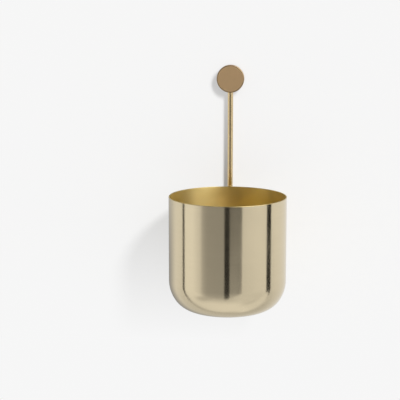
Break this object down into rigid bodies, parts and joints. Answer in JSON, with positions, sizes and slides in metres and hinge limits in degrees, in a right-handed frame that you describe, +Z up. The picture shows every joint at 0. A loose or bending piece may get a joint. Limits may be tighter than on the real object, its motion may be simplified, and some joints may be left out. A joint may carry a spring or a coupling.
{
  "type": "hanging wall vase",
  "caption": "Round-bottomed spun brass cup on a slim upright rod, hung on a wall by a small round disc with a hidden keyhole fixing.",
  "frame": {"origin": "on the wall plane, at the axis of the wall screw once the vase is hung on it, which is the centre of the slot's round top end", "axes": "+Z up along the rod, +Y into the wall, so the front faces -Y, and +X to the right seen from the front"},
  "size_m": [0.125, 0.1345, 0.2555],
  "materials": {
    "cup_brass": "fine brushed pale brass, lacquered; golden satin inside",
    "rod_brass": "satin golden brass",
    "disc_bronze": "matte bronzed brass",
    "fixing_steel": "plain zinc-plated steel",
    "black_rubber": "moulded matte rubber",
    "pad_felt": "pressed grey felt"
  },
  "bodies": {
    "root": {"cup": "cup_brass", "hanging_rod": "rod_brass", "wall_disc": "disc_bronze", "wall_pad": "pad_felt", "keyhole_plate": "fixing_steel", "keyhole_plate_screws": "fixing_steel", "upper_saddle_spacer": "rod_brass", "lower_saddle_spacer": "rod_brass", "sealing_washers": "black_rubber", "screw_washers": "fixing_steel", "cup_screws": "fixing_steel", "rod_end_cap": "black_rubber"}
  },
  "joints": []
}
